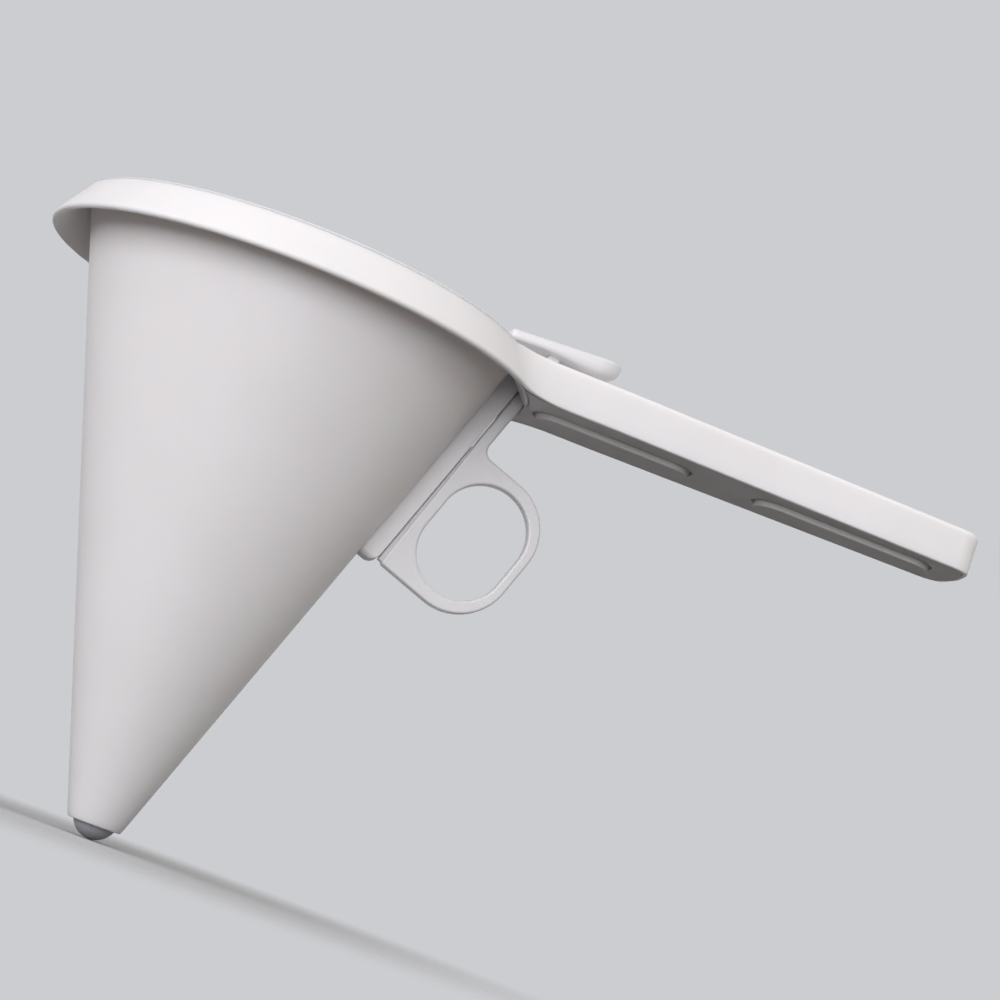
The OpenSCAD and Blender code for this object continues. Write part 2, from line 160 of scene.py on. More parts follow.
def arc(cx: float, cy: float, r: float, start: float, end: float, steps: int) -> np.ndarray:
    """Points on a circle: (cx + r cos a, cy + r sin a), with a in even steps of degrees.

    Args:
        cx: the centre's first coordinate.
        cy: the centre's second coordinate.
        r: radius.
        start: first angle in degrees.
        end: last angle in degrees.
        steps: number of spaces between points.

    Returns:
        steps + 1 points, one row each.
    """
    a = np.radians(np.linspace(start, end, steps + 1))
    return np.column_stack([cx + r * np.cos(a), cy + r * np.sin(a)])


def line(start: Any, end: Any, steps: int) -> np.ndarray:
    """Points on a straight line: start + (end - start) t, for t in even steps from 0 to 1."""
    t = np.linspace(0.0, 1.0, steps + 1)[:, None]
    return np.array(start) + (np.array(end) - np.array(start)) * t


def both_halves(half: np.ndarray, open_start: bool = False) -> np.ndarray:
    """A half outline, then its mirror image about the first axis, back to where it starts.

    Args:
        half: places of the half, of which the last lies on the axis.
        open_start: whether the first lies off the axis, so that its image is kept too.

    Returns:
        The whole outline.
    """
    back = (half * [1.0, -1.0])[-2::-1]
    return np.vstack([half, back if open_start else back[:-1]])


def rounded_corners(corners: np.ndarray, radii: np.ndarray, steps: int) -> np.ndarray:
    """A closed outline with each corner turned into an arc.

    At a corner P with unit directions a to the corner before and b to the corner after, the
    arc of radius r touches both sides at a distance r / tan(h), where h is half the angle
    between a and b. Its centre is P + (a + b) / |a + b| * r / sin(h), and its points run from
    one touching point to the other in even angles about that centre.

    Args:
        corners: the outline's corners in order, one row each.
        radii: one radius for each corner.
        steps: number of spaces in each arc.

    Returns:
        The outline's points in the same order.
    """
    back = np.roll(corners, 1, axis=0) - corners
    on = np.roll(corners, -1, axis=0) - corners
    a = back / np.linalg.norm(back, axis=1, keepdims=True)
    b = on / np.linalg.norm(on, axis=1, keepdims=True)
    half = np.arccos(np.clip((a * b).sum(1), -1.0, 1.0)) / 2
    middle = (a + b) / np.linalg.norm(a + b, axis=1, keepdims=True)
    centre = corners + middle * (radii / np.sin(half))[:, None]
    first = corners + a * (radii / np.tan(half))[:, None] - centre
    turn = (math.pi - 2 * half) * np.sign(b[:, 0] * a[:, 1] - b[:, 1] * a[:, 0])
    angle = turn[:, None] * np.linspace(0.0, 1.0, steps + 1)[None, :]
    c, s = np.cos(angle), np.sin(angle)
    x = centre[:, :1] + first[:, :1] * c - first[:, 1:] * s
    y = centre[:, 1:] + first[:, :1] * s + first[:, 1:] * c
    return np.stack([x, y], axis=-1).reshape(-1, 2)


def drawn_in(outline: np.ndarray, distance: float) -> np.ndarray:
    """A closed outline moved to its left by a distance.

    Each point moves along the sum of its two sides' left normals, divided by one plus their
    dot product, which keeps both sides at the distance. That divisor is never under 0.2, so
    that a needle-sharp corner stays near.

    Args:
        outline: points in order, one row each, with no two next to each other the same.
        distance: how far to move it; an anticlockwise outline shrinks.

    Returns:
        The moved outline.
    """
    on = np.roll(outline, -1, axis=0) - outline
    on /= np.linalg.norm(on, axis=1, keepdims=True)
    after = np.column_stack([-on[:, 1], on[:, 0]])
    before = np.roll(after, 1, axis=0)
    share = 1.0 + (after * before).sum(1, keepdims=True)
    return outline + distance * (after + before) / np.maximum(share, 0.2)


def anticlockwise(outline: np.ndarray) -> np.ndarray:
    """The outline in anticlockwise order, told by its signed area, half the sum of x dy - y dx."""
    x, y = outline.T
    return outline if (x * np.roll(y, -1) - y * np.roll(x, -1)).sum() > 0 else outline[::-1]


def thinned(outline: np.ndarray) -> np.ndarray:
    """The outline without points that lie on the one before."""
    gap = np.linalg.norm(outline - np.roll(outline, 1, axis=0), axis=1)
    return outline[gap > DOUBLED]


def layered(outline: np.ndarray, inset: np.ndarray, height: np.ndarray) -> np.ndarray:
    """An outline drawn in by each inset at each height, as layers by points by x, y and z."""
    layers = [(drawn_in(outline, d), np.full(len(outline), h)) for d, h in zip(inset, height)]
    return np.stack([np.column_stack(layer) for layer in layers])


@dataclass
class Slab:
    """A plate of any outline between two heights, with rounded edges and holes.

    Its wall is the outline carried up through the heights, drawn in by r (1 - sin a) while the
    height changes by r (1 - cos a) round each edge, and a narrow flat ring keeps the two flat
    faces' shading plain.

    Args:
        outline: the plate's outline.
        low: lower height.
        high: upper height.
        low_r: radius of the lower edges.
        high_r: radius of the upper edges.
        holes: outlines of openings that go right through.
        hole_r: radius of the holes' edges.
        steps: spaces in each rounded edge.
        flat_ring: width of the flat ring.
    """

    outline: np.ndarray
    low: float
    high: float
    low_r: float
    high_r: float
    holes: list[np.ndarray] = field(default_factory=list)
    hole_r: float = 0.2
    steps: int = 6
    flat_ring: float = 0.12

    def levels(self, low_r: float, high_r: float) -> tuple[np.ndarray, np.ndarray]:
        """How the wall runs from the lower face to the upper one.

        Args:
            low_r: radius of the lower edge.
            high_r: radius of the upper edge.

        Returns:
            How far the outline is drawn in at each level, and the levels' heights.
        """
        a = np.radians(np.linspace(0.0, 90.0, self.steps + 1))
        ring, fall, rise = self.flat_ring, 1 - np.sin(a), 1 - np.cos(a)
        inset = [[low_r + ring], low_r * fall, high_r * rise, [high_r + ring]]
        height = [[self.low], self.low + low_r * rise, self.high - high_r * fall, [self.high]]
        return np.concatenate(inset), np.concatenate(height)

    def surface(self) -> Surface:
        """The closed plate.

        Returns:
            Its points as (first, second, height) rows, and its faces.
        """
        rings, bottoms, tops = [], [], []
        edges = [(anticlockwise(thinned(self.outline)), self.low_r, self.high_r)]
        edges += [(anticlockwise(thinned(hole))[::-1], self.hole_r, self.hole_r) for hole in self.holes]
        for outline, low_r, high_r in edges:
            layers = layered(outline, *self.levels(low_r, high_r))
            rings.append(woven(layers, close_columns=True))
            bottoms.append(layers[0])
            tops.append(layers[-1])
        return Surface.joined([*rings, self.cap(bottoms), self.cap(tops)])

    @staticmethod
    def cap(loops: list[np.ndarray]) -> Surface:
        """A flat face that fills an outline and leaves its holes open."""
        found = tessellate_polygon([[Vector(p) for p in loop] for loop in loops])
        return Surface(np.vstack(loops), triangles=np.array(found, int))


def stadium(start: float, length: float, half_width: float, steps: int = 24) -> np.ndarray:
    """A round-ended bar's outline: two half circles whose centres lie along the first axis.

    Args:
        start: where the bar begins on the first axis.
        length: its whole length.
        half_width: radius of its ends.
        steps: spaces in each half circle.

    Returns:
        The outline, anticlockwise.
    """
    right = arc(start + length - half_width, 0.0, half_width, -90.0, 90.0, steps)
    left = arc(start + half_width, 0.0, half_width, 90.0, 270.0, steps)
    return np.vstack([right, left])


def turned(r: Any, t: Any, h: Any) -> np.ndarray:
    """Places (r cos t, r sin t, h) for radius, angle and height, spread to one shape."""
    return np.stack(np.broadcast_arrays(r * np.cos(t), r * np.sin(t), h), axis=-1)


def revolved(section: np.ndarray, steps: int) -> Surface:
    """A closed section turned about an axis: (r cos t, r sin t, h) for each section point (r, h).

    Args:
        section: radius and height of each point, in order round the section.
        steps: number of places round the axis.

    Returns:
        The surface in its own axes. A section that starts and ends on the axis is closed there
        when doubled points are merged.
    """
    t = np.linspace(0.0, 2 * math.pi, steps, endpoint=False)[:, None]
    return woven(turned(section[:, 0], t, section[:, 1]), close_rows=True, close_columns=True)


# ---------------------------------------------------------------- finishes


class Nodes:
    """A material's or world's shader nodes, added one after the other."""

    def __init__(self, owner: Finish | bpy.types.World) -> None:
        """Empties a node tree.

        Args:
            owner: the material or world that the tree belongs to.
        """
        owner.use_nodes = True
        self.tree = owner.node_tree
        self.tree.nodes.clear()

    def add(self, kind: str, inputs: dict[str | int, Any] | None = None, **options: str) -> Any:
        """Adds a shader node.

        Args:
            kind: the node's kind, without the words ShaderNode.
            inputs: a socket to link to each input, or the value to set there.
            options: the node's own settings, which are set first.

        Returns:
            The node's outputs.
        """
        node = self.tree.nodes.new("ShaderNode" + kind)
        for name, option in options.items():
            setattr(node, name, option)
        for key, given in (inputs or {}).items():
            if isinstance(given, Socket):
                self.tree.links.new(given, node.inputs[key])
            else:
                node.inputs[key].default_value = given
        return node.outputs


@dataclass(frozen=True)
class MouldedPlastic:
    """Moulded plastic: a tint that drifts a little, a fine tool grain, and uneven gloss.

    Args:
        name: the material's name.
        tint: colour at its lightest.
        shade: colour at its deepest.
        roughness: middle of the roughness.
        unevenness: how far the roughness swings either way.
        grain: width of the tool grain in millimetres.
        grain_height: height of the grain in millimetres.
        depth: how much light goes under the surface, from 0 to 1.
        reach: how far it travels there, in millimetres.
        gloss: the specular level.
        clear: how much light passes right through, from 0 to 1.
        flow: width of the slow drift of tint in millimetres.
        patches_per_flow: how many times narrower the patches of gloss are.
        refraction: index of refraction.
        reach_of_colours: shares of the reach for red, green and blue.
    """

    name: str
    tint: Triple
    shade: Triple
    roughness: float
    unevenness: float = 0.04
    grain: float = 0.35
    grain_height: float = 0.006
    depth: float = 0.1
    reach: float = 1.2
    gloss: float = 0.5
    clear: float = 0.0
    flow: float = 26.0
    patches_per_flow: float = 5.0
    refraction: float = 1.49
    reach_of_colours: Triple = (1.0, 0.9, 0.8)

    def material(self) -> Finish:
        """Makes the finish on Object coordinates.

        Returns:
            The material, with its shader nodes.
        """
        made = bpy.data.materials.new(self.name)
        nodes = Nodes(made)
        place = nodes.add("TexCoord")["Object"]
        drift = self.ramp(nodes, self.noise(nodes, place, self.flow, 3.0), 0.0, 1.0)
        ends = {"A": (*self.shade, 1.0), "B": (*self.tint, 1.0)}
        tint = nodes.add("Mix", {"Factor": drift, **ends}, data_type="RGBA")
        patches = self.noise(nodes, place, self.flow / self.patches_per_flow, 2.0)
        low, high = self.roughness - self.unevenness, self.roughness + self.unevenness
        grain = {"Distance": self.grain_height * MM, "Height": self.noise(nodes, place, self.grain, 1.0)}
        shader = nodes.add("BsdfPrincipled", {
            "Base Color": tint["Result"],
            "Roughness": self.ramp(nodes, patches, low, high),
            "Normal": nodes.add("Bump", {"Strength": 1.0, **grain})["Normal"],
            "IOR": self.refraction,
            "Specular IOR Level": self.gloss,
            "Transmission Weight": self.clear,
            "Subsurface Weight": self.depth,
            "Subsurface Scale": self.reach * MM,
            "Subsurface Radius": self.reach_of_colours,
        })
        nodes.add("OutputMaterial", {"Surface": shader["BSDF"]})
        return made

    @staticmethod
    def noise(nodes: Nodes, place: Socket, width: float, detail: float) -> Socket:
        """Smooth noise whose lumps are about a width across, in millimetres."""
        scale = 1.0 / (width * MM)
        return nodes.add("TexNoise", {"Vector": place, "Scale": scale, "Detail": detail})["Fac"]

    @staticmethod
    def ramp(nodes: Nodes, value: Socket, low: float, high: float) -> Socket:
        """The noise's middle range, from 0.3 to 0.7, spread from a low to a high value."""
        ends = {"From Min": 0.3, "From Max": 0.7, "To Min": low, "To Max": high}
        return nodes.add("MapRange", {"Value": value, **ends})["Result"]


SATIN_WHITE = MouldedPlastic(
    "satin_white_hopper", (0.86, 0.85, 0.86), (0.83, 0.82, 0.825), 0.45,
    depth=0.8, reach=1.6, gloss=0.2,
)
COVER_WHITE = MouldedPlastic(
    "satin_white_cover", (0.84, 0.83, 0.83), (0.80, 0.79, 0.785), 0.45, gloss=0.05
)
GLOSS_WHITE = MouldedPlastic(
    "gloss_white_valve", (0.75, 0.75, 0.765), (0.72, 0.72, 0.735), 0.24,
    unevenness=0.03, grain=0.6, grain_height=0.0001,
)
MILKY_GREY = MouldedPlastic(
    "milky_grey_stopper", (0.46, 0.46, 0.50), (0.41, 0.41, 0.45), 0.28,
    depth=0.35, reach=2.0, clear=0.15,
)


def linked(name: str, data: bpy.types.ID) -> bpy.types.Object:
    """Puts data into the scene.

    Args:
        name: the object's name.
        data: its mesh, lamp or camera.

    Returns:
        The object.
    """
    made = bpy.data.objects.new(name, data)
    bpy.context.scene.collection.objects.link(made)
    return made


def placed(
    name: str, surface: Surface, finish: Finish, body: Body, nodes: list[str]
) -> None:
    """Writes a surface as a piece at the origin that rides on a body and stands for CAD nodes.

    Doubled points are merged and all faces turned outwards, then shading is smooth except
    where two faces meet at more than the sharp angle.

    Args:
        name: the piece's name.
        surface: its points in millimetres and its faces.
        finish: its material.
        body: the body it rides on.
        nodes: the CAD nodes it stands for.
    """
    mesh = bpy.data.meshes.new(name)
    faces = surface.quads.tolist() + surface.triangles.tolist()
    mesh.from_pydata((surface.points * MM).tolist(), [], faces)
    work = bmesh.new()
    work.from_mesh(mesh)
    bmesh.ops.remove_doubles(work, verts=work.verts, dist=MERGE)
    bmesh.ops.dissolve_degenerate(work, edges=work.edges, dist=MERGE / 2)
    bmesh.ops.recalc_face_normals(work, faces=work.faces)
    work.to_mesh(mesh)
    work.free()
    mesh.shade_smooth()
    mesh.set_sharp_from_angle(angle=math.radians(SHARP_ANGLE))
    mesh.materials.append(finish)
    made = linked(name, mesh)
    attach(made, body.value)
    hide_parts(*nodes)
    LOG.info("%s: %d faces, rides on %s", name, len(mesh.polygons), body.value)


# ---------------------------------------------------------------- the dispenser


@dataclass(frozen=True)
class SlopeFrame:
    """Axes along the cone's side: out from it, across it and up it, from the cone's apex.

    Args:
        angle: the cone's half angle in degrees.
        nozzle_r: radius of the cone at the outlet.
    """

    angle: float = 19.2
    nozzle_r: float = 6.4

    @property
    def sine(self) -> float:
        """Sine of the cone's half angle."""
        return math.sin(math.radians(self.angle))

    @property
    def cosine(self) -> float:
        """Cosine of the cone's half angle."""
        return math.cos(math.radians(self.angle))

    @property
    def tangent(self) -> float:
        """Tangent of the cone's half angle."""
        return self.sine / self.cosine

    @property
    def apex_z(self) -> float:
        """Height of the cone's apex, below the outlet."""
        return -self.nozzle_r / self.tangent

    def row(self, out: Any, across: Any, up: Any) -> np.ndarray:
        """Places (up sin + out cos, across, up cos - out sin + apex) in the part's frame."""
        x, z = up * self.sine + out * self.cosine, up * self.cosine - out * self.sine + self.apex_z
        return np.stack(np.broadcast_arrays(x, across, z), axis=-1)

    def up_at(self, out: float, z: float) -> float:
        """Distance up the slope at which a line parallel to the cone's side reaches a height."""
        return (z - self.apex_z + out * self.sine) / self.cosine


@dataclass
class Hopper:
    """The cone with its nozzle and round rim, one closed shell of revolution."""

    slope: SlopeFrame = SlopeFrame()
    height: float = 126.4
    wall: float = 1.2
    collar_h: float = 10.1
    rim_w: float = 2.6
    lip_r: float = 0.3
    flare_angle: float = 31.3
    collar_low_r: float = 59.95
    flare_in: float = 0.12
    edge_r: float = 0.81
    wedge_z: float = 133.0
    skirt_from: float = 2.6
    lip_l: tuple[float, float] = (2.0, 1.2)
    bead_l: float = 4.0
    turns: int = 240

    @property
    def rim_z(self) -> float:
        """Height of the rim."""
        return self.height + self.collar_h

    @property
    def bead_r(self) -> float:
        """Radius of the rim's rounding."""
        return self.rim_w / 2

    def cone_x(self, z: Any) -> Any:
        """Outer radius at a height: the nozzle's radius plus z times the half angle's tangent."""
        return self.slope.nozzle_r + z * self.slope.tangent

    def bore_x(self, z: Any) -> Any:
        """Inner radius at a height: the outer one less the wall measured level."""
        return self.cone_x(z) - self.wall / self.slope.cosine

    @property
    def bead(self) -> tuple[float, float]:
        """Radius and height of the middle of the rim's rounding."""
        z = self.rim_z - self.bead_r
        return self.bore_x(z) + self.bead_r, z

    @property
    def flare_top(self) -> tuple[float, float]:
        """Radius and height at which the collar's outside touches the rim's rounding."""
        a = math.radians(self.flare_angle)
        return self.bead[0] + self.bead_r * math.cos(a), self.bead[1] + self.bead_r * math.sin(a)

    def collar_x(self, z: Any) -> Any:
        """Outer radius of the collar: a straight flare that touches the rim's rounding.

        Args:
            z: height, one or many.

        Returns:
            The radius at each height.
        """
        r, top = self.flare_top
        low_z = self.height + self.edge_r * (1 + math.sin(math.radians(self.flare_angle)))
        return r + (top - z) * (self.collar_low_r - self.flare_in - r) / (top - low_z)

    def section(self) -> np.ndarray:
        """Up the bore, over the rim, into the solid behind the collar and down the outside.

        Returns:
            Radius and height of each place.
        """
        r, z = self.bead
        under, high, lip = self.rim_z - self.skirt_from, z - self.bead_l, self.lip_r
        (inside, outside), tilt = self.lip_l, self.slope.angle
        return np.vstack([
            arc(self.bore_x(0.0) + lip + HAIR, lip, lip, 270.0, 180.0 - tilt, 6),
            line((self.bore_x(inside), inside), (self.bore_x(high), high), 40),
            arc(r, z, self.bead_r, 180.0 - tilt, 4.0, 20),
            [[r + 0.6, z - 0.7], [self.cone_x(under) + 0.2, under + 0.2]],
            line((self.cone_x(under), under), (self.cone_x(outside), outside), 48),
            arc(self.slope.nozzle_r - lip - 0.02, lip, lip, -tilt, -90.0, 6),
        ])

    def build(self, finish: Finish) -> None:
        """Builds the hopper."""
        shell = revolved(self.section(), self.turns)
        placed("hopper", shell, finish, Body.FUNNEL, ["funnel_body"])


@dataclass
class Handle:
    """The collar's skirt and the handle's walls and top, one closed shell.

    The shell is a wall section carried round a plan outline. The outline runs from the collar
    round the root fillet, along the handle and back, then right round the collar. The section
    is the collar's own at the collar and the handle's own at the handle, and it passes from
    one to the other within the root fillet.
    """

    hopper: Hopper
    reach: float = 173.5
    root_half_w: float = 17.0
    end_half_w: float = 12.9
    taper_x: float = 79.0
    end_corner_r: float = 5.5
    end_crown: float = 0.8
    crown_turn: float = 8.0
    fillet_r: float = 16.0
    draft: float = 0.7
    top_edge_r: float = 1.1
    low_edge_r: float = 0.45
    ledge_x: float = 1.1
    ledge_bevel: float = 0.15
    side_t: float = 2.1
    top_t: float = 2.0
    cover_t: float = 2.2
    corner_ease: float = 0.7
    fillet_steps: int = 30
    blend_share: float = 0.4
    wall_from: tuple[float, float] = (53.9, 0.35)
    edge_to: float = -138.0
    web_low_r: float = 58.55
    web_top_r: float = 52.72
    web_t: float = 1.0
    web_slot: float = 4.3
    web_turn: float = 25.0
    top_in: float = 0.1
    ceiling_in: float = 1.0
    web_rows: int = 8
    web_steps: int = 24
    back_steps: int = 180

    def stations(self) -> tuple[np.ndarray, np.ndarray, np.ndarray]:
        """The plan outline's stations: stretch, share along it, and share of the handle's section.

        Returns:
            Stretches 0 to 4 are root fillet, straight, taper, end corner and crown; each has
            its share from 0 to 1. The third array is 0 at the collar and 1 on the handle.
        """
        counts = [self.fillet_steps, 4, 24, 14, 8]
        piece = np.concatenate([np.full(n, k) for k, n in enumerate(counts)] + [[4]])
        share = np.concatenate([np.arange(n) / n for n in counts] + [[1.0]])
        return piece, share, np.where(piece == 0, eased(share, 0.0, self.blend_share), 1.0)

    def half_outline(
        self, piece: np.ndarray, share: np.ndarray, z: np.ndarray, inset: np.ndarray
    ) -> np.ndarray:
        """Plan places on the handle's left half, for arrays of stretch, share, height and inset.

        The fillet is an arc about (cx, cy), which touches both the collar's circle and the
        side; the corner is an arc about (xe - rc, h); the crown is a quadratic curve from the
        corner's end to the middle of the end face, with both ends' directions kept.

        Args:
            piece: number of the stretch.
            share: how far along the stretch.
            z: height.
            inset: how far the outline is drawn in.

        Returns:
            x and y in the last axis.
        """
        drift = self.draft * (z - self.hopper.height) / self.hopper.collar_h
        w, we = self.root_half_w - drift, self.end_half_w - drift
        r0 = self.hopper.collar_x(z)
        cy = w + self.fillet_r
        cx = np.sqrt((r0 + self.fillet_r) ** 2 - cy**2)
        join = np.arctan2(cy, cx)
        a = join + math.pi + share * (math.pi / 2 - join)
        rf = self.fillet_r + inset
        fillet = (cx + rf * np.cos(a), cy + rf * np.sin(a))

        rc = self.end_corner_r - inset * self.corner_ease
        xe = self.reach - self.end_crown - inset
        h = we - inset - rc
        lean = np.arctan2(w - we, self.reach - self.taper_x)
        corner_x, corner_y = xe - rc + rc * np.sin(lean), h + rc * np.cos(lean)
        straight = (cx + (self.taper_x - cx) * share, w - inset)
        taper_y = w - inset + (corner_y - w + inset) * share
        taper = (self.taper_x + (corner_x - self.taper_x) * share, taper_y)

        turn = math.radians(self.crown_turn)
        b = (math.pi / 2 - lean) + (turn - math.pi / 2 + lean) * share
        corner = (xe - rc + rc * np.cos(b), h + rc * np.sin(b))

        sx, sy = xe - rc + rc * math.cos(turn), h + rc * math.sin(turn)
        ex = xe + self.end_crown
        ky = sy - (ex - sx) / math.tan(turn)
        first, second, third = (1 - share) ** 2, 2 * share * (1 - share), share**2
        crown = (first * sx + (second + third) * ex, first * sy + second * ky)
        stretches = [fillet, straight, taper, corner, crown]
        picks = [piece == k for k in range(len(stretches))]
        return np.stack([
            np.select(picks, [np.broadcast_to(stretch[axis], piece.shape) for stretch in stretches])
            for axis in (0, 1)
        ], axis=-1)

    def handle_section(self) -> np.ndarray:
        """The handle's wall, from its top edge round to its ceiling inside.

        Returns:
            Inset and height of each place.
        """
        low, top, r, q = self.hopper.height, self.hopper.rim_z, self.top_edge_r, self.low_edge_r
        seat, ledge, bevel = low + self.cover_t, self.ledge_x, self.ledge_bevel
        return np.vstack([
            arc(r, top - r, r, 90.0, 180.0, 7),
            line((0.0, top - r), (0.0, low + q), 10)[1:],
            arc(q, low + q, q, 180.0, 270.0, 8)[1:],
            [[ledge - bevel, low], [ledge, low + bevel]],
            line((ledge, low + bevel), (ledge, seat), 5)[1:],
            line((ledge, seat), (self.side_t, seat), 3)[1:],
            line((self.side_t, seat), (self.side_t, top - self.top_t), 6)[1:],
        ])

    def collar_section(self) -> np.ndarray:
        """The collar's wall, from behind the rim round to the V space's top.

        Returns:
            Inset and height of each place.
        """
        hopper = self.hopper
        (r_top, z_top), a = hopper.flare_top, math.radians(hopper.flare_angle)
        edge_r, edge_z = hopper.collar_low_r - hopper.edge_r, hopper.height + hopper.edge_r
        edge = arc(edge_r, edge_z, hopper.edge_r, hopper.flare_angle, self.edge_to, 10)
        over = (r_top - 0.1 * math.sin(a), z_top + 0.1 * math.cos(a))
        apex = (hopper.cone_x(hopper.wedge_z) - HAIR, hopper.wedge_z)
        places = np.vstack([
            line((self.wall_from[0], z_top - self.wall_from[1]), over, 7),
            line(over, edge[0], 10)[1:],
            edge[1:],
            line(edge[-1], apex, 11)[1:],
            line(apex, (apex[0] - 0.5, apex[1] + 0.7), 3)[1:],
        ])
        return np.column_stack([hopper.collar_x(places[:, 1]) - places[:, 0], places[:, 1]])

    def wall(self) -> tuple[np.ndarray, int]:
        """The wall's grid of places.

        Returns:
            An array of stations by section points by x, y and z, and the number of stations
            on one half of the handle.
        """
        piece, share, mix = self.stations()
        collar, mix = self.collar_section(), mix[:, None, None]
        inset, z = np.moveaxis(collar * (1 - mix) + self.handle_section() * mix, -1, 0)
        piece, share = (np.broadcast_to(each[:, None], z.shape) for each in (piece, share))
        left = np.dstack([self.half_outline(piece, share, z, inset), z])
        join = np.arctan2(left[0, :, 1], left[0, :, 0])
        t = np.linspace(0.0, 1.0, self.back_steps + 1)[1:-1, None]
        r = self.hopper.collar_x(collar[:, 1]) - collar[:, 0]
        back = turned(r, -join - t * (2 * math.pi - 2 * join), collar[:, 1])
        return np.concatenate([left, left[-2::-1] * MIRROR, back]), len(left)

    def sheet(self, edge: np.ndarray, mix: np.ndarray, radius: float, height: float) -> np.ndarray:
        """The inner border of the flat top or ceiling, one place for each station of a half.

        Along the root fillet it follows a circle about the hopper's axis from the edge's first
        place to the middle line, and from there it runs along the middle line under the edge.

        Args:
            edge: the places of the wall's first or last row, for one half.
            mix: share of the handle's section at each station.
            radius: radius of the circle.
            height: height of the flat face.

        Returns:
            x, y and z of each place.
        """
        n = self.fillet_steps
        share = np.clip(np.arange(len(edge)) / n, 0.0, 1.0)
        a = math.atan2(edge[0, 1], edge[0, 0]) * (1 - share)
        r = math.hypot(edge[0, 0], edge[0, 1]) * (1 - mix) + radius * mix
        z = edge[0, 2] * (1 - mix) + height * mix
        along = np.maximum(edge[:, 0] - edge[n, 0], 0.0)
        along *= (edge[-1, 0] - radius) / (edge[-1, 0] - edge[n, 0])
        return np.column_stack([r * np.cos(a) + np.where(share >= 1, along, 0.0), r * np.sin(a), z])

    def web(self) -> Surface:
        """The skirt's inner wall across the handle's root, on the left of the slot for the rail.

        Its section is carried about the hopper's axis: (r cos t, r sin t, h), with t from
        asin(slot / r) to the angle where the collar itself begins.

        Returns:
            The wall, closed at both ends.
        """
        low, top = (self.web_low_r, self.hopper.height), (self.web_top_r, self.hopper.wedge_z)
        inner = line(low, top, self.web_rows)
        r, h = np.vstack([inner, inner[::-1] + [self.web_t, 0.0]]).T
        first = np.arcsin(self.web_slot / r)
        share = np.linspace(0.0, 1.0, self.web_steps + 1)[:, None]
        points = turned(r, first + (math.radians(self.web_turn) - first) * share, h)
        n = len(inner)
        ends = [woven(np.stack([end[:n], end[: n - 1 : -1]])) for end in (points[0], points[-1])]
        return Surface.joined([woven(points, close_columns=True), *ends])

    def build(self, finish: Finish) -> None:
        """Builds the collar's skirt and the handle.

        Args:
            finish: their material.
        """
        wall, half = self.wall()
        mix, rim_z, rim_r = self.stations()[2], self.hopper.rim_z, self.hopper.bead[0]
        behind = np.concatenate([wall[2 * half - 2 :], wall[:1]])
        parts = [woven(wall, close_rows=True), woven(behind[:, [-1, 0]])]
        high, low = wall[:half, 0], wall[:half, -1]
        high_in = self.sheet(high, mix, rim_r - self.top_in, rim_z)
        low_in = self.sheet(low, mix, rim_r - self.ceiling_in, rim_z - self.top_t)
        n = self.fillet_steps + 1
        pairs = [(high, high_in), (low, low_in), (high_in[:n], low_in[:n])]
        left = [woven(np.stack(pair, axis=1)) for pair in pairs] + [self.web()]
        for mirror in (1.0, MIRROR):
            parts += [Surface(part.points * mirror, part.quads) for part in left]
        shell = Surface.joined(parts)
        placed("collar_and_handle", shell, finish, Body.FUNNEL, ["funnel_body"])


